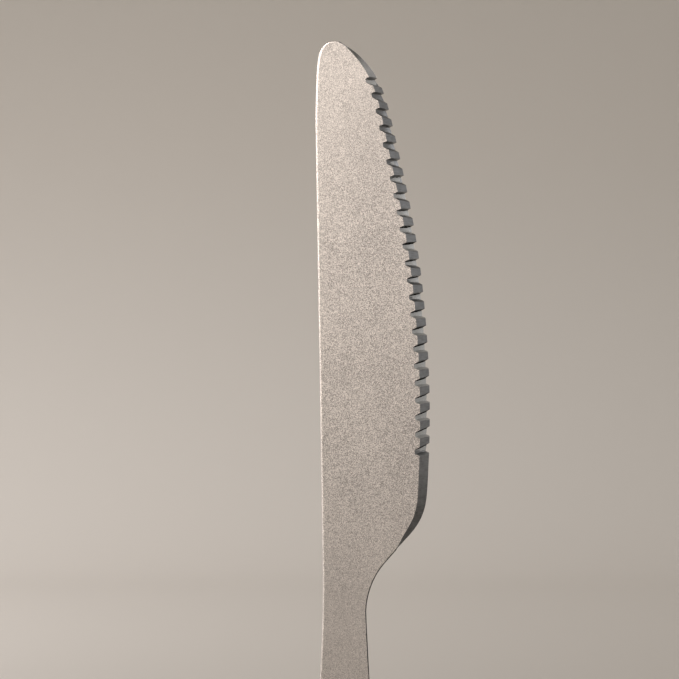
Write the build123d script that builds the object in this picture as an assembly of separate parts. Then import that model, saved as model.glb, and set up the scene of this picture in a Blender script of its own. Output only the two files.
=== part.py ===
from build123d import *
from math import atan, cos, exp, radians, sin, tan
import os

# A flat picnic knife, stamped from one sheet, with a small spring-gate hook hanging in the
# hole at the end of its handle.
# All sizes are millimetres. +Z runs from the handle to the tip of the blade, +X towards the
# cutting edge, and +Y out of the flat back. The origin is the middle of the handle grip.

# Knife blank
knife_thickness = 1.4
front_y = -knife_thickness / 2
back_y = knife_thickness / 2
front_round = 0.3
back_round = 0.15
end_radius = 7.25
hole_z = -36.35
hole_diameter = 5.5
handle_taper = radians(2.38)
grip_top_z = 31.0

# Blade outline as (x, z)
tip_points = [
    (-2.0, 146.4),
    (-2.8, 146.27),
    (-3.55, 145.84),
    (-4.2, 145.06),
    (-4.6, 144.0),
    (-4.97, 141.8),
    (-5.14, 138.0),
]
spine_top = (-5.28, 132.0)
spine_foot = (-4.0, 55.0)
back_neck_points = [(-3.93, 47.5), (-4.06, 40.0)]
neck_points = [(3.92, 41.6), (3.9, 43.8), (4.5, 47.0), (6.0, 50.3)]
edge_points = [
    (9.2, 54.2),
    (11.55, 56.8),
    (13.2, 58.9),
    (14.35, 61.4),
    (15.0, 66.0),
    (15.4, 78.0),
    (14.72, 95.3),
    (12.52, 113.0),
    (8.75, 130.8),
    (5.65, 140.1),
    (2.5, 143.95),
    (-0.9, 146.25),
]

# Ground bevel on the front, which leaves a narrow land at the back
edge_thickness = 0.2
edge_y = back_y - edge_thickness
bevel_depth = edge_y - front_y
bevel_width = 1.84
bevel_run_in_tip = 7.5
bevel_run_in_heel = 4.6
bevel_samples = 28
bevel_shy = 0.04
cutter_margin = 0.3
clear_x = 30.0

# Serration: one lopsided fan of a groove, ground again and again along the edge. Its wall
# towards the tip is the steeper, and its floor is hollow along its length.
groove_count = 23
groove_pitch = 3.055
first_groove = 10.4
groove_turn_tip = -24.0
groove_turn_heel = 16.0
groove_depth_tip = 0.46
groove_depth_heel = 0.47
groove_half = 0.93
groove_fan = 0.08
groove_tip_wall = tan(radians(27))
groove_heel_wall = tan(radians(42))
groove_corner = 0.2
groove_hollow_radius = 7.0
groove_middle = -1.6
groove_floor_half = 1.28
groove_cutter_half = 2.6
groove_sections = 4
groove_top = 0.8

# Spring-gate hook, in the plane x = 0; depths are measured down from its top bar's centre.
# Tongues run root_overlap into the bar; a cut reaches through past the middle of the bar.
bar_radius = 2.0
bar_rest_gap = 0.1
bar_z = hole_z - (hole_diameter / 2 - bar_radius) + bar_rest_gap
bar_half_straight = 2.75
leg_y = 10.0
leg_foot_depth = 34.0
nose_depth = 9.0
root_overlap = 1.0
through = 3.0

# Gate
gate_top_depth = 9.3
pivot_depth = 31.6
gate_slot_half = 0.8
fork_slot_depth = 14.2
ear_slot_depth = 28.4
bore_radius = 1.0
bore_end_depth = 20.5
bore_mouth_depth = 30.4

# Tongues of the hook body that stand in the gate's two slots
tongue_half = 0.6
tongue_half_width = 1.6
nose_tongue_end_depth = 13.2
latch_depth = 11.8
latch_slot_radius = 0.65
cam_height = 2.2
cam_reach = 1.9
cam_outer_round = 0.8
tongue_round = 0.5

# Pins, plunger and spring
rivet_radius = 0.75
rivet_running_gap = 0.05
rivet_head_radius = 1.15
rivet_head_inner = 1.65
rivet_head_outer = 2.0
rivet_head_round = 0.15
spot_face_radius = 1.25
spot_face_inner = 1.6
latch_pin_radius = 0.5
plunger_radius = 0.93
plunger_gap = 0.1
plunger_length = 2.5
plunger_round = 0.1
spring_wire_radius = 0.14
spring_coil_radius = 0.68
spring_pitch = 0.72
spring_end_gap = 0.02


def cutting_edge():
    """Edge line of the blade from the heel to the tip, in the plane y = 0."""
    return Spline([(x, 0, z) for x, z in edge_points])


def bevel_reach(from_heel, from_tip):
    """Width of the bevel, which runs out to nothing at the heel and at the tip."""
    heel_share = 1 - exp(-from_heel / bevel_run_in_heel)
    tip_share = 1 - exp(-from_tip / bevel_run_in_tip)
    return bevel_width * heel_share * tip_share


def edge_frame(edge, from_heel):
    """Point on the edge line, its direction towards the tip, and the way out of the blade."""
    mode = PositionMode.LENGTH
    point = edge.position_at(from_heel, position_mode=mode)
    along = edge.tangent_at(from_heel, position_mode=mode)
    outward = along.cross(Vector(0, 1, 0)) * -1
    return point, along, outward


def led_spline(points, start_way, end_way):
    """Spline through the points that leaves and arrives in the two given directions."""
    return Spline(points, tangents=[start_way, end_way], tangent_scalars=[1, 1]).edge()


def grip_side(z, side):
    """Point on the straight side of the handle at height z; side is +1 or -1."""
    x = (end_radius - (z - hole_z) * sin(handle_taper)) / cos(handle_taper)
    return Vector(side * x, 0, z)


def in_plane(pairs):
    """Points of the plane y = 0 from (x, z) pairs."""
    return [Vector(x, 0, z) for x, z in pairs]


def knife_outline():
    """Closed outline of the knife in the plane y = 0, from the handle's right side upwards."""
    edge = cutting_edge()
    up = Vector(-sin(handle_taper), 0, cos(handle_taper))
    down = Vector(-sin(handle_taper), 0, -cos(handle_taper))
    top, foot = in_plane([spine_top, spine_foot])
    grip_foot_z = hole_z + end_radius * sin(handle_taper)
    right_foot, left_foot = grip_side(grip_foot_z, 1), grip_side(grip_foot_z, -1)
    right_top, left_top = grip_side(grip_top_z, 1), grip_side(grip_top_z, -1)
    neck = [right_top] + in_plane(neck_points) + [edge @ 0]
    tip = [edge @ 1] + in_plane(tip_points) + [top]
    back_neck = [foot] + in_plane(back_neck_points) + [left_top]
    return Wire(
        [
            Line(right_foot, right_top).edge(),
            led_spline(neck, up, edge % 0),
            edge.edge(),
            led_spline(tip, edge % 1, foot - top),
            Line(top, foot).edge(),
            led_spline(back_neck, foot - top, down),
            Line(left_top, left_foot).edge(),
            ThreePointArc(left_foot, Vector(0, 0, hole_z - end_radius), right_foot).edge(),
        ]
    )


def bevel_cutter():
    """What the grinding of the bevel takes away, from in front of the sheet to behind it."""
    edge = cutting_edge()
    wires = []
    for y in (front_y - cutter_margin, back_y + cutter_margin):
        share = (y - front_y) / bevel_depth
        points = []
        for i in range(bevel_samples + 1):
            from_heel = edge.length * i / bevel_samples
            point, along, outward = edge_frame(edge, from_heel)
            reach = bevel_reach(from_heel, edge.length - from_heel) * (1 - share)
            points.append(point + outward * (bevel_shy - reach) + Vector(0, y, 0))
        heel, tip = points[0], points[-1]
        side = Polyline(tip, (clear_x, y, tip.Z), (clear_x, y, heel.Z), heel)
        wires.append(Wire([Spline(points).edge()] + side.edges()))
    return Solid.make_loft(wires, ruled=True)


def knife_blank():
    """The stamped and tumbled sheet with its hanging hole, before any grinding."""
    sheet = extrude(Face(knife_outline()), knife_thickness / 2, dir=(0, 1, 0), both=True)
    hole = Pos(0, 0, hole_z) * Rot(90, 0, 0) * Cylinder(hole_diameter / 2, 3 * knife_thickness)
    blank = sheet - hole
    front = blank.faces().sort_by(Axis.Y)[0]
    blank = fillet(front.edges(), front_round)
    back = blank.faces().sort_by(Axis.Y)[-1]
    return fillet(back.edges(), back_round)


def groove_section(x):
    """Outline across the groove's cutter, at x out along it; z = 0 is the floor at its ends."""
    from_middle = x - groove_middle
    floor = (from_middle**2 - groove_floor_half**2) / (2 * groove_hollow_radius)
    half = groove_half + groove_fan * x
    corners = []
    for side, wall in ((-1, groove_heel_wall), (1, groove_tip_wall)):
        foot = half - (groove_depth_heel - floor) * wall
        top = half - (groove_depth_heel - groove_top) * wall
        corners.append([(x, side * foot, floor), (x, side * top, groove_top)])
    (heel_foot, heel_top), (tip_foot, tip_top) = corners
    return FilletPolyline(heel_foot, tip_foot, tip_top, heel_top, radius=groove_corner, close=True)


def groove_cutter():
    """Block that cuts one groove: x runs out along the groove, z stands on the bevel."""
    wires = []
    for i in range(groove_sections):
        share = 2 * i / (groove_sections - 1) - 1
        wires.append(groove_section(groove_middle + share * groove_cutter_half))
    return Solid.make_loft(wires)


def grooves():
    """All the grooves of the serration, from the tip towards the heel."""
    edge = cutting_edge()
    cutter = groove_cutter()
    placed = []
    for i in range(groove_count):
        share = i / (groove_count - 1)
        from_tip = first_groove + groove_pitch * i
        point, along, outward = edge_frame(edge, edge.length - from_tip)
        slope = atan(bevel_depth / bevel_reach(edge.length - from_tip, from_tip))
        turn = radians(groove_turn_tip + (groove_turn_heel - groove_turn_tip) * share)
        depth = groove_depth_tip + (groove_depth_heel - groove_depth_tip) * share
        across = outward * cos(slope) + Vector(0, sin(slope), 0)
        normal = outward * sin(slope) - Vector(0, cos(slope), 0)
        groove_way = across * cos(turn) + along * sin(turn)
        start = point + Vector(0, edge_y, 0) - normal * depth
        placed.append(Plane(origin=start, x_dir=groove_way, z_dir=normal) * cutter)
    return placed


def knife():
    """The finished knife."""
    return knife_blank() - bevel_cutter() - grooves()


def hook_point(y, depth):
    """Point in the hook's own plane, at a depth below the centre of its top bar."""
    return Vector(0, y, bar_z - depth)


def hook_bar():
    """Centre line of the hook's bar, from the nose over the top and round to the foot."""
    shoulder = leg_y - bar_half_straight
    lean = shoulder * sin(radians(45))
    nose = hook_point(-leg_y, nose_depth)
    nose_top = hook_point(-leg_y, shoulder)
    nose_bend = hook_point(-bar_half_straight - lean, shoulder - lean)
    top_left, top_right = hook_point(-bar_half_straight, 0), hook_point(bar_half_straight, 0)
    back_bend = hook_point(bar_half_straight + lean, shoulder - lean)
    back_top, back_foot = hook_point(leg_y, shoulder), hook_point(leg_y, leg_foot_depth)
    bottom = hook_point(0, leg_foot_depth + leg_y)
    foot = hook_point(-leg_y, leg_foot_depth)
    return Wire(
        [
            Line(nose, nose_top).edge(),
            ThreePointArc(nose_top, nose_bend, top_left).edge(),
            Line(top_left, top_right).edge(),
            ThreePointArc(top_right, back_bend, back_top).edge(),
            Line(back_top, back_foot).edge(),
            ThreePointArc(back_foot, bottom, foot).edge(),
        ]
    )


def cross_pin(radius, depth, half_length):
    """Cylinder along X through the gate's centre line at the given depth."""
    return Plane(hook_point(-leg_y, depth), z_dir=(1, 0, 0)) * Cylinder(radius, 2 * half_length)


def upright(radius, low_depth, high_depth):
    """Cylinder along the gate's centre line between two depths."""
    length = low_depth - high_depth
    middle = hook_point(-leg_y, (low_depth + high_depth) / 2)
    return Pos(middle.X, middle.Y, middle.Z) * Cylinder(radius, length)


def gate_block(half_x, half_y, low_depth, high_depth):
    """Box about the gate's centre line between two depths."""
    middle = hook_point(-leg_y, (low_depth + high_depth) / 2)
    return Pos(middle.X, middle.Y, middle.Z) * Box(2 * half_x, 2 * half_y, low_depth - high_depth)


def nose_tongue():
    """Flat tongue on the nose, with the open slot that takes the gate's latch pin."""
    tongue = gate_block(tongue_half, tongue_half_width, nose_tongue_end_depth, nose_depth - root_overlap)
    tongue = fillet(tongue.edges().filter_by(Axis.X).group_by(Axis.Z)[0], tongue_round)
    slot_end = cross_pin(latch_slot_radius, latch_depth, through)
    centre = hook_point(-leg_y + through / 2, latch_depth)
    slot = Pos(0, centre.Y, centre.Z) * Box(through, through, 2 * latch_slot_radius)
    return tongue - slot_end - slot


def pivot_tongue():
    """Flat tongue on the foot: the gate turns on it and its top is the plunger's cam."""
    heel = cross_pin(cam_reach, pivot_depth, tongue_half)
    cam = gate_block(tongue_half, cam_reach, pivot_depth, pivot_depth - cam_height)
    outer = cam.edges().filter_by(Axis.X).group_by(Axis.Z)[-1].sort_by(Axis.Y)[0]
    stem = gate_block(tongue_half, cam_reach, leg_foot_depth + root_overlap, pivot_depth)
    tongue = heel + fillet(outer, cam_outer_round) + stem
    return tongue - cross_pin(rivet_radius, pivot_depth, through)


def hook_body():
    """Bent bar of the hook with its two tongues."""
    line = hook_bar()
    bar = sweep(Plane(line @ 0, z_dir=line % 0) * Circle(bar_radius), path=line)
    return (bar + nose_tongue() + pivot_tongue()).clean()


def hook_gate():
    """Gate: a round bar, forked at the top, with two ears and a spring bore at its foot."""
    ears = upright(bar_radius, pivot_depth, gate_top_depth) + ears_end()
    gate = ears - gate_block(gate_slot_half, through, fork_slot_depth, gate_top_depth - through)
    gate -= gate_block(gate_slot_half, through, pivot_depth + through, ear_slot_depth)
    gate -= upright(bore_radius, bore_mouth_depth, bore_end_depth)
    gate -= cross_pin(latch_pin_radius, latch_depth, through)
    gate -= cross_pin(rivet_radius + rivet_running_gap, pivot_depth, through)
    for side in (-1, 1):
        place = side * (spot_face_inner + through / 2)
        gate -= Pos(place, 0, 0) * cross_pin(spot_face_radius, pivot_depth, through / 2)
    return gate


def ears_end():
    """Rounded lower end of the gate: where its bar meets a roller about the rivet."""
    bar = upright(bar_radius, pivot_depth + bar_radius, pivot_depth)
    return bar & cross_pin(bar_radius, pivot_depth, bar_radius)


def gate_latch_pin():
    """Pin across the gate's fork, with ends that follow the round of the bar."""
    pin = cross_pin(latch_pin_radius, latch_depth, through)
    return pin & upright(bar_radius, latch_depth + bar_radius, latch_depth - bar_radius)


def gate_pivot_rivet():
    """Rivet through the foot tongue, with a low head in each ear's seat."""
    rivet = cross_pin(rivet_radius, pivot_depth, rivet_head_outer)
    for side in (-1, 1):
        thickness = rivet_head_outer - rivet_head_inner
        place = side * (rivet_head_inner + thickness / 2)
        head = Pos(place, 0, 0) * cross_pin(rivet_head_radius, pivot_depth, thickness / 2)
        rim = head.edges().filter_by(GeomType.CIRCLE).sort_by(Axis.X)[0 if side < 0 else -1]
        rivet += fillet(rim, rivet_head_round)
    return rivet


def spring_plunger():
    """Plunger at the foot of the bore, standing just clear of the cam."""
    low_depth = pivot_depth - cam_height - plunger_gap
    body = upright(plunger_radius, low_depth, low_depth - plunger_length)
    return fillet(body.edges().filter_by(GeomType.CIRCLE), plunger_round)


def gate_spring():
    """Compression spring between the plunger and the end of the bore."""
    low_depth = pivot_depth - cam_height - plunger_gap - plunger_length
    clear = spring_wire_radius + spring_end_gap
    height = low_depth - bore_end_depth - 2 * clear
    coil = Helix(pitch=spring_pitch, height=height, radius=spring_coil_radius)
    coil = Pos(0, -leg_y, bar_z - low_depth + clear) * coil
    wire = Plane(coil @ 0, z_dir=coil % 0) * Circle(spring_wire_radius)
    return sweep(wire, path=coil)


nodes = {
    "knife": knife,
    "hook_body": hook_body,
    "hook_gate": hook_gate,
    "gate_latch_pin": gate_latch_pin,
    "gate_pivot_rivet": gate_pivot_rivet,
    "spring_plunger": spring_plunger,
    "gate_spring": gate_spring,
}

os.makedirs("parts", exist_ok=True)
for name, make in nodes.items():
    export_step(make(), f"parts/{name}.step")
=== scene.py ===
import bpy
import math
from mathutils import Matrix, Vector


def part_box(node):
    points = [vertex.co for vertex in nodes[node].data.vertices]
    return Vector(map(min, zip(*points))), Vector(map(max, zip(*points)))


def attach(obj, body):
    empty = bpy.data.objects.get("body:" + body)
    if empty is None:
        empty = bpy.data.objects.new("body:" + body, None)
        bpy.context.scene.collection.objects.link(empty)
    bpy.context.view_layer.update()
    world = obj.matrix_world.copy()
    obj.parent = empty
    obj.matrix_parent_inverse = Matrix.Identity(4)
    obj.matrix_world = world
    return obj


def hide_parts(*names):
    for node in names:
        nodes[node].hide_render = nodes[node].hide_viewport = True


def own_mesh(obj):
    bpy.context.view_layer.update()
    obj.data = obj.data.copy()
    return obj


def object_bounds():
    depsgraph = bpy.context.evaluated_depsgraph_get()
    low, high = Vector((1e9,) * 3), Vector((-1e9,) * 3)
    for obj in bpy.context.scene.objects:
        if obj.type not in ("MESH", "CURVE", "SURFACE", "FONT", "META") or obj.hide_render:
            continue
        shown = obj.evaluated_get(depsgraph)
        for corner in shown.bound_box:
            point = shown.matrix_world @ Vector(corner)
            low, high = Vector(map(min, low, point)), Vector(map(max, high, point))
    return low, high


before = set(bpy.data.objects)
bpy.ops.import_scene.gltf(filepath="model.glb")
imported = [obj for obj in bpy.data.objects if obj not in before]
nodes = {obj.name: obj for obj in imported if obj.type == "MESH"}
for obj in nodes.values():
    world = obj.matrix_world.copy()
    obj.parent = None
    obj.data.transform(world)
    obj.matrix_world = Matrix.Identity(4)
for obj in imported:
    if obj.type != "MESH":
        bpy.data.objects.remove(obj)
cad_low, cad_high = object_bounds()
MM = 0.001

# Camera: square on to the flat front, framed on the blade with the lower handle cut off
FRAME_WIDTH = 122.7 * MM
CAMERA_DISTANCE = 420 * MM
AIM = Vector((-0.96 * MM, -0.7 * MM, 92.4 * MM))
SENSOR = 36.0

# The stage: a floor this far below the part, swept up through a round bend, in metres
FLOOR_GAP = 0.5 * MM
STAGE_HALF_WIDTH = 7.0
STAGE_FRONT = -7.0
STAGE_BACK = 1.6
STAGE_BEND = 0.35
STAGE_TOP = 5.0
BEND_STEPS = 24

# A wave texture of scale 1 turns through this many radians in a metre
WAVE_RATE = 20

# Heights in millimetres over which the blasted grain fades: down the neck to the handle, and up
# to the tip. After each pair is the share of the grain that is left.
HANDLE_FADE_Z, BLADE_Z = 46.0, 72.0
HANDLE_GRAIN = 0.42
FULL_GRAIN_Z, TIP_Z = 110.0, 130.0
TIP_GRAIN = 0.55

# The knife's ground bevel, as its part has it, in millimetres
EDGE_Y = 0.5
BEVEL_DEPTH = 1.2
BEVEL_WIDTH = 1.84
RUN_IN_TIP = 7.5
HEEL_Z = 54.2
GROOVES_FROM_TIP = (8.8, 79.0)

# The bevel darkens to this share of its tone at its heel, from this far above it, as painted shade
HEEL_SHADE_TONE = 0.15
HEEL_SHADE_FADE = 15.0

# Finding the cutting edge on the knife's mesh, in millimetres: no part of it is on the spine's
# side of this x, its points lie this close to its plane, and one is kept in each step of height
SPINE_SIDE_X = -1.0
ON_EDGE = 0.004
EDGE_STEP = 0.4

# Where ground faces lie, in millimetres: within this reach of the edge, in front of this y, and
# this deep under the bevel's face in a groove. The bevel's width is never taken nearer the tip.
GRIND_REACH = 3.2
BEHIND_EDGE_Y = 0.65
BELOW_BEVEL = 0.035
NEAREST_TIP = 0.1

# Which way faces look, as one component of the unit normal
FLAT_FRONT_Y = -0.97
BACK_Y = 0.5
SPINE_X = -0.7
# Groove faces looking further down than this are painted near black as shade
WALL_Z = -0.08
# Under the heel, faces looking this far right and forward get the bevel's dark finish as painted
# shade
CORNER_X, CORNER_Y = 0.3, -0.12

# The order of the knife's finishes on its mesh
SHEET, BEVEL, GROOVE, SHADED_WALL = range(4)


# ---- camera, stage and lights ----

def add_camera():
    data = bpy.data.cameras.new("camera")
    data.sensor_width = SENSOR
    data.lens = SENSOR * CAMERA_DISTANCE / FRAME_WIDTH
    camera = bpy.data.objects.new("camera", data)
    camera.location = AIM + Vector((0, -CAMERA_DISTANCE, 0))
    camera.rotation_euler = (math.radians(90), 0, 0)
    bpy.context.scene.collection.objects.link(camera)
    bpy.context.scene.camera = camera


def add_area(name, place, aim, size, power, colour, spread):
    """A rectangular light in metres and watts, with its cone's width in degrees."""
    data = bpy.data.lights.new(name, "AREA")
    data.spread = math.radians(spread)
    data.shape = "RECTANGLE"
    data.size, data.size_y = size
    data.energy = power
    data.color = colour
    light = bpy.data.objects.new(name, data)
    light.visible_camera = False
    light.location = place
    light.rotation_euler = (Vector(aim) - Vector(place)).to_track_quat("-Z", "Y").to_euler()
    bpy.context.scene.collection.objects.link(light)


def stage_material():
    material = bpy.data.materials.new("stage_paper")
    material.use_nodes = True
    shader = material.node_tree.nodes["Principled BSDF"]
    shader.inputs["Base Color"].default_value = (0.76, 0.72, 0.665, 1)
    shader.inputs["Roughness"].default_value = 0.9
    return material


def add_stage():
    """A pale floor that sweeps up into a backdrop behind the object."""
    floor_z = cad_low[2] - FLOOR_GAP
    bend_y = STAGE_BACK - STAGE_BEND
    profile = [(STAGE_FRONT, floor_z), (bend_y, floor_z)]
    for i in range(1, BEND_STEPS + 1):
        turn = math.radians(90 * i / BEND_STEPS)
        rise = STAGE_BEND * (1 - math.cos(turn))
        profile.append((bend_y + STAGE_BEND * math.sin(turn), floor_z + rise))
    profile.append((STAGE_BACK, STAGE_TOP))
    verts, faces = [], []
    for x in (-STAGE_HALF_WIDTH, STAGE_HALF_WIDTH):
        verts += [(x, y, z) for y, z in profile]
    n = len(profile)
    for i in range(n - 1):
        faces.append((i, i + n, i + n + 1, i + 1))
    mesh = bpy.data.meshes.new("stage")
    mesh.from_pydata(verts, [], faces)
    mesh.materials.append(stage_material())
    for polygon in mesh.polygons:
        polygon.use_smooth = True
    stage = bpy.data.objects.new("stage", mesh)
    bpy.context.scene.collection.objects.link(stage)


def set_world(strength):
    world = bpy.data.worlds.new("world")
    world.use_nodes = True
    background = world.node_tree.nodes["Background"]
    background.inputs["Color"].default_value = (1.0, 0.96, 0.92, 1)
    background.inputs["Strength"].default_value = strength
    bpy.context.scene.world = world


def light_knife():
    """Narrow lights on the knife's front, edges and back."""
    middle = (0, 0, 105 * MM)
    add_area(
        "key",
        place=(-0.30, -0.45, 0.42),
        aim=(0, 0, 130 * MM),
        size=(0.1, 0.1),
        power=0.119,
        colour=(1.0, 0.95, 0.9),
        spread=25,
    )
    add_area(
        "right",
        place=(0.5, 0.1, 0.5),
        aim=middle,
        size=(0.4, 0.4),
        power=0.029,
        colour=(1.0, 0.94, 0.87),
        spread=34,
    )
    add_area(
        "front_right",
        place=(0.45, -0.45, 0.25),
        aim=middle,
        size=(0.4, 0.4),
        power=0.07,
        colour=(0.97, 0.98, 1.0),
        spread=34,
    )
    add_area(
        "left",
        place=(-0.6, -0.05, 0.28),
        aim=(0, 0, 45 * MM),
        size=(0.2, 0.3),
        power=0.235,
        colour=(1.0, 0.97, 0.94),
        spread=40,
    )
    add_area(
        "behind",
        place=(-0.4, 0.45, 0.2),
        aim=(0, 0, 30 * MM),
        size=(0.35, 0.35),
        power=0.3,
        colour=(1.0, 0.97, 0.93),
        spread=40,
    )
    add_area(
        "behind_right",
        place=(0.35, 0.9, 0.3),
        aim=(0, 0, 60 * MM),
        size=(0.4, 0.4),
        power=0.15,
        colour=(1.0, 0.97, 0.93),
        spread=30,
    )


def light_stage():
    """The lights on the paper: even from above, a little in front, and brightest at the left."""
    add_area(
        "backdrop",
        place=(0.1, 0.35, 1.1),
        aim=(0, 1.3, 0.05),
        size=(0.7, 0.4),
        power=0.3,
        colour=(1.0, 0.97, 0.93),
        spread=120,
    )
    add_area(
        "foreground",
        place=(0, -1.0, 1.3),
        aim=(0, -0.95, -0.08),
        size=(0.6, 0.6),
        power=0.2,
        colour=(1.0, 0.97, 0.94),
        spread=64,
    )
    add_area(
        "backdrop_left",
        place=(-1.38, 0.35, 0.62),
        aim=(-0.72, 0.85, -0.05),
        size=(0.6, 0.6),
        power=3.4,
        colour=(1.0, 0.96, 0.97),
        spread=66,
    )


# ---- materials ----

class Nodes:
    """A material's node tree, with short calls to add and join nodes."""

    def __init__(self, name):
        self.material = bpy.data.materials.new(name)
        self.material.use_nodes = True
        self.tree = self.material.node_tree
        self.shader = self.tree.nodes["Principled BSDF"]
        self.place = self.tree.nodes.new("ShaderNodeTexCoord").outputs["Object"]

    def link(self, source, target):
        self.tree.links.new(source, target)

    def stretched(self, scale):
        """Object coordinates with each axis multiplied."""
        node = self.tree.nodes.new("ShaderNodeMapping")
        node.inputs["Scale"].default_value = scale
        self.link(self.place, node.inputs["Vector"])
        return node.outputs["Vector"]

    def noise(self, scale, detail=2.0, roughness=0.5, vector=None):
        node = self.tree.nodes.new("ShaderNodeTexNoise")
        node.inputs["Scale"].default_value = scale
        node.inputs["Detail"].default_value = detail
        node.inputs["Roughness"].default_value = roughness
        self.link(vector or self.place, node.inputs["Vector"])
        return node.outputs["Fac"]

    def wave(self, kind, axis, pitch, vector):
        """Fine regular tool marks of one pitch: RINGS about an axis, or BANDS across it."""
        node = self.tree.nodes.new("ShaderNodeTexWave")
        node.wave_type = kind
        if kind == "RINGS":
            node.rings_direction = axis
        else:
            node.bands_direction = axis
        node.inputs["Scale"].default_value = math.tau / (WAVE_RATE * pitch)
        node.inputs["Distortion"].default_value = 0.6
        node.inputs["Detail"].default_value = 2.0
        self.link(vector, node.inputs["Vector"])
        return node.outputs["Fac"]

    def shifted(self, centre):
        """Object coordinates measured from a centre."""
        node = self.tree.nodes.new("ShaderNodeMapping")
        node.inputs["Location"].default_value = [-value for value in centre]
        self.link(self.place, node.inputs["Vector"])
        return node.outputs["Vector"]

    def spread(self, value, low, high, to_low, to_high):
        """value mapped from the range low..high to another, clamped."""
        node = self.tree.nodes.new("ShaderNodeMapRange")
        node.inputs["From Min"].default_value = low
        node.inputs["From Max"].default_value = high
        node.inputs["To Min"].default_value = to_low
        node.inputs["To Max"].default_value = to_high
        self.link(value, node.inputs["Value"])
        return node.outputs["Result"]

    def height(self):
        """Height above the part's origin."""
        node = self.tree.nodes.new("ShaderNodeSeparateXYZ")
        self.link(self.place, node.inputs["Vector"])
        return node.outputs["Z"]

    def math(self, operation, *values):
        """One math node, on numbers or on other nodes' outputs."""
        node = self.tree.nodes.new("ShaderNodeMath")
        node.operation = operation
        for value, socket in zip(values, node.inputs):
            if isinstance(value, (int, float)):
                socket.default_value = value
            else:
                self.link(value, socket)
        return node.outputs["Value"]

    def ramp(self, value, stops):
        """A colour picked by value from stops of (place, colour)."""
        node = self.tree.nodes.new("ShaderNodeValToRGB")
        band = node.color_ramp
        while len(band.elements) < len(stops):
            band.elements.new(0.5)
        for element, (place, colour) in zip(band.elements, stops):
            element.position = place
            element.color = (*colour, 1)
        self.link(value, node.inputs["Fac"])
        return node.outputs["Color"]

    def mix(self, *parts):
        """The sum of (value, weight) pairs."""
        total = None
        for value, weight in parts:
            weighted = self.math("MULTIPLY", value, weight)
            total = weighted if total is None else self.math("ADD", total, weighted)
        return total

    def bump(self, height, strength, distance, normal=None):
        """Relief of a depth in metres, on top of another relief where one is given."""
        node = self.tree.nodes.new("ShaderNodeBump")
        node.inputs["Strength"].default_value = strength
        node.inputs["Distance"].default_value = distance
        self.link(height, node.inputs["Height"])
        if normal:
            self.link(normal, node.inputs["Normal"])
        return node.outputs["Normal"]

    def metal(self, colour, roughness, normal):
        """The finished material, as bare metal."""
        self.shader.inputs["Metallic"].default_value = 1.0
        self.link(colour, self.shader.inputs["Base Color"])
        self.link(roughness, self.shader.inputs["Roughness"])
        self.link(normal, self.shader.inputs["Normal"])
        return self.material


def blasted_titanium(name, dark, light, roughness, grain):
    """Fine bead-blasted metal: a tight grain in tone and relief over faint clouding.

    The grain fades towards the tip and on the handle. A smaller value of grain has more contrast.
    """
    m = Nodes(name)
    fine = m.noise(scale=8600, detail=0.0)
    coarse = m.noise(scale=5000, detail=1.0, roughness=0.6)
    cloud = m.noise(scale=60, detail=3.0)
    tone = m.mix((fine, 0.5), (coarse, 0.4), (cloud, 0.1))
    handle_fade = m.spread(m.height(), HANDLE_FADE_Z * MM, BLADE_Z * MM, HANDLE_GRAIN, 1.0)
    tip_fade = m.spread(m.height(), FULL_GRAIN_Z * MM, TIP_Z * MM, 1.0, TIP_GRAIN)
    depth = m.math("MULTIPLY", handle_fade, tip_fade)
    tone = m.math("MULTIPLY_ADD", m.math("SUBTRACT", tone, 0.5), depth, 0.5)
    colour = m.ramp(tone, ((0.5 - grain, dark), (0.5 + grain, light)))
    rough = m.spread(coarse, 0.3, 0.7, roughness - 0.04, roughness + 0.05)
    normal = m.bump(coarse, strength=0.35, distance=0.02 * MM)
    normal = m.bump(fine, strength=0.5, distance=0.012 * MM, normal=normal)
    return m.metal(colour, rough, normal)


def ground_titanium(name, dark, light, roughness):
    """Ground metal: short streaks across the edge, a little mottling, and a heel painted dark
    towards black as shade.
    """
    m = Nodes(name)
    streaks = m.noise(scale=1.0, detail=3.0, roughness=0.6, vector=m.stretched((900, 900, 9000)))
    mottle = m.noise(scale=1400)
    heel_z = HEEL_Z * MM
    # Painted shade: the tone falls to a small share at the heel, down to near black
    heel = m.spread(m.height(), heel_z, heel_z + HEEL_SHADE_FADE * MM, HEEL_SHADE_TONE, 1.0)
    tone = m.math("MULTIPLY", m.mix((streaks, 0.6), (mottle, 0.4)), heel)
    shade_black = (0.01, 0.01, 0.01)
    colour = m.ramp(tone, ((0.0, shade_black), (0.38, dark), (0.62, light)))
    rough = m.spread(streaks, 0.3, 0.7, roughness - 0.05, roughness + 0.08)
    normal = m.bump(streaks, strength=0.35, distance=0.004 * MM)
    return m.metal(colour, rough, normal)


def anodised_aluminium(name, dark, light, roughness):
    """Etched and anodised bar: a fine matt skin, soft tumbling dents and faint clouding."""
    m = Nodes(name)
    etch = m.noise(scale=6000, detail=1.0, roughness=0.6)
    tumbled = m.noise(scale=1100, detail=3.0, roughness=0.6)
    cloud = m.noise(scale=140, detail=3.0, roughness=0.55)
    along_bar = m.stretched((5200, 3400, 260))
    scuffs = m.noise(scale=1.0, detail=4.0, roughness=0.7, vector=along_bar)
    skin = m.mix((etch, 0.35), (tumbled, 0.25))
    worn = m.mix((cloud, 0.2), (scuffs, 0.2))
    colour = m.ramp(m.math("ADD", skin, worn), ((0.4, dark), (0.6, light)))
    rough = m.spread(m.math("ADD", tumbled, scuffs), 0.7, 1.3, roughness - 0.07, roughness + 0.08)
    normal = m.bump(tumbled, strength=0.3, distance=0.03 * MM)
    normal = m.bump(etch, strength=0.35, distance=0.008 * MM, normal=normal)
    normal = m.bump(scuffs, strength=0.25, distance=0.006 * MM, normal=normal)
    return m.metal(colour, rough, normal)


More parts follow.
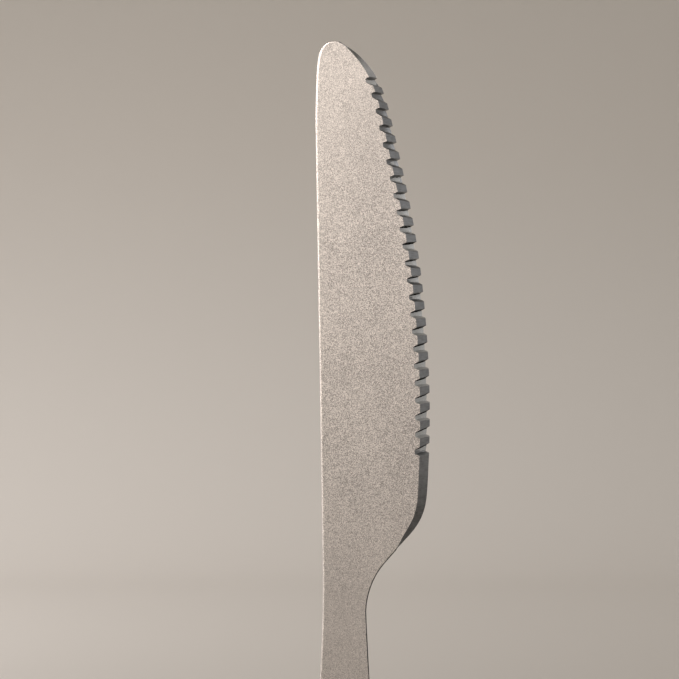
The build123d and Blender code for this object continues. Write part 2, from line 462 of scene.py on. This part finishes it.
def turned_steel(name, node, axis, pitch, roughness):
    """Turned pin: fine rings about its axis on its ends, and tool lines round its side."""
    m = Nodes(name)
    low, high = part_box(node)
    about = m.shifted([(a + b) / 2 for a, b in zip(low, high)])
    rings = m.wave("RINGS", axis, pitch, about)
    lines = m.wave("BANDS", axis, pitch, about)
    marks = m.math("ADD", rings, lines)
    stain = m.noise(scale=2600, detail=3.0, roughness=0.6)
    tone = m.mix((marks, 0.25), (stain, 0.5))
    dark, light = (0.44, 0.43, 0.42), (0.70, 0.69, 0.68)
    colour = m.ramp(tone, ((0.3, dark), (0.7, light)))
    rough = m.spread(stain, 0.3, 0.7, roughness - 0.06, roughness + 0.1)
    normal = m.bump(marks, strength=0.3, distance=0.004 * MM)
    return m.metal(colour, rough, normal)


def drawn_wire(name, roughness):
    """Drawn spring wire: bright, with fine die lines and a darker film left in patches."""
    m = Nodes(name)
    across_wire = m.stretched((2500, 2500, 16000))
    lines = m.noise(scale=1.0, detail=2.0, roughness=0.6, vector=across_wire)
    film = m.noise(scale=2200, detail=3.0, roughness=0.6)
    dark, light = (0.34, 0.335, 0.33), (0.60, 0.60, 0.595)
    colour = m.ramp(m.mix((lines, 0.5), (film, 0.5)), ((0.38, dark), (0.62, light)))
    rough = m.spread(film, 0.3, 0.7, roughness - 0.06, roughness + 0.1)
    normal = m.bump(lines, strength=0.3, distance=0.003 * MM)
    return m.metal(colour, rough, normal)


def finish_hook():
    """Materials of the hook, its gate, and the turned pieces in the gate."""
    nodes["hook_body"].data.materials[0] = anodised_aluminium(
        "satin_aluminium_bar",
        dark=(0.41, 0.41, 0.42),
        light=(0.58, 0.58, 0.59),
        roughness=0.36,
    )
    nodes["hook_gate"].data.materials[0] = anodised_aluminium(
        "satin_aluminium_gate",
        dark=(0.38, 0.38, 0.39),
        light=(0.55, 0.55, 0.56),
        roughness=0.33,
    )
    for node, axis in (("gate_latch_pin", "X"), ("gate_pivot_rivet", "X"), ("spring_plunger", "Z")):
        nodes[node].data.materials[0] = turned_steel(
            node + "_steel",
            node,
            axis,
            pitch=0.07 * MM,
            roughness=0.26,
        )


def squashed_spring():
    """The gate's spring, copied from its part in drawn wire and carried by the gate. The copy keeps
    the part's length; the plunger shortens the real spring towards the end of its bore.
    """
    mesh = nodes["gate_spring"].data.copy()
    mesh.name = "gate_spring_wire"
    mesh.materials[0] = drawn_wire("gate_spring_steel", roughness=0.24)
    spring = bpy.data.objects.new("gate_spring_wire", mesh)
    bpy.context.scene.collection.objects.link(spring)
    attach(spring, "gate")
    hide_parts("gate_spring")
    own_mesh(spring)


# ---- the knife's finish, face by face ----

def edge_line(mesh):
    """The cutting edge from the tip down, as (x, z, distance from the tip) in millimetres."""
    line = []
    for vertex in mesh.vertices:
        x, y, z = (value / MM for value in vertex.co)
        if abs(y - EDGE_Y) < ON_EDGE and x > SPINE_SIDE_X and z > HEEL_Z:
            line.append((z, x))
    line.sort(reverse=True)
    kept = []
    for z, x in line:
        if not kept or kept[-1][1] - z > EDGE_STEP:
            kept.append((x, z, 0.0))
    for i in range(1, len(kept)):
        step = math.hypot(kept[i][0] - kept[i - 1][0], kept[i][1] - kept[i - 1][1])
        kept[i] = (kept[i][0], kept[i][1], kept[i - 1][2] + step)
    return kept


def at_height(line, z):
    """The edge line's x at height z, its distance from the tip, and how upright it is there."""
    i = 1
    while i < len(line) - 1 and line[i][1] > z:
        i += 1
    (x0, z0, s0), (x1, z1, s1) = line[i - 1], line[i]
    share = (z0 - z) / (z0 - z1)
    length = math.hypot(x1 - x0, z1 - z0)
    return x0 + (x1 - x0) * share, s0 + (s1 - s0) * share, (z0 - z1) / length


def below_bevel(y, inward, from_tip):
    """How far a point lies under the ground bevel's face. The bevel narrows into the tip."""
    run_in = 1 - math.exp(-max(from_tip, NEAREST_TIP) / RUN_IN_TIP)
    reach = BEVEL_WIDTH * run_in
    bevel_y = EDGE_Y - inward * BEVEL_DEPTH / reach
    return (y - bevel_y) * reach / math.hypot(reach, BEVEL_DEPTH)


def finish_of(line, centre, normal):
    """Which finish a face of the knife has, from its place and the way that it faces."""
    x, y, z = (value / MM for value in centre)
    if z < HEEL_Z:
        # The rounded front corner under the heel takes the bevel's finish, painted dark as shade
        # like the heel
        corner = normal.x > CORNER_X and normal.y < CORNER_Y
        return BEVEL if corner else SHEET
    if x < SPINE_SIDE_X or normal.y < FLAT_FRONT_Y or normal.y > BACK_Y:
        return SHEET
    edge_x, from_tip, upright = at_height(line, z)
    inward = (edge_x - x) * upright
    if inward > GRIND_REACH or y > BEHIND_EDGE_Y or normal.x < SPINE_X:
        return SHEET
    first, last = GROOVES_FROM_TIP
    if below_bevel(y, inward, from_tip) < BELOW_BEVEL or not first < from_tip < last:
        return BEVEL
    # Groove walls facing down get a near-black finish: painted shade
    return SHADED_WALL if normal.z < WALL_Z else GROOVE


def knife_finishes():
    """The knife's finishes, in the order sheet, bevel, groove and groove wall. The bevel's dark
    grey is a painted reflection and the walls' near black is painted shade.
    """
    sheet = blasted_titanium(
        "blasted_titanium_sheet",
        dark=(0.27, 0.247, 0.232),
        light=(0.74, 0.675, 0.624),
        roughness=0.5,
        grain=0.075,
    )
    # The bevel's dark grey is a painted reflection of dark surroundings on bright metal; its
    # streaks and mottling are the ground finish.
    bevel = ground_titanium(
        "ground_titanium_bevel_painted_dark",
        dark=(0.205, 0.207, 0.21),
        light=(0.27, 0.272, 0.275),
        roughness=0.33,
    )
    groove = blasted_titanium(
        "ground_titanium_groove",
        dark=(0.35, 0.35, 0.345),
        light=(0.51, 0.51, 0.50),
        roughness=0.5,
        grain=0.2,
    )
    # Painted shade: the groove walls that face down are near black
    shaded_wall = ground_titanium(
        "groove_wall_painted_shade",
        dark=(0.01, 0.01, 0.01),
        light=(0.025, 0.025, 0.025),
        roughness=0.55,
    )
    return sheet, bevel, groove, shaded_wall


def finished_knife():
    """The knife's own mesh, with its blasted, ground and grooved faces told apart."""
    mesh = nodes["knife"].data.copy()
    mesh.name = "knife_finished"
    line = edge_line(mesh)
    mesh.materials.clear()
    for finish in knife_finishes():
        mesh.materials.append(finish)
    for polygon in mesh.polygons:
        polygon.material_index = finish_of(line, polygon.center, polygon.normal)
    piece = bpy.data.objects.new("knife_finished", mesh)
    bpy.context.scene.collection.objects.link(piece)
    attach(piece, "knife")
    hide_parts("knife")


add_camera()
add_stage()
set_world(strength=0.4)
light_knife()
light_stage()
finished_knife()
finish_hook()
squashed_spring()

bpy.context.scene.view_settings.view_transform = "Standard"
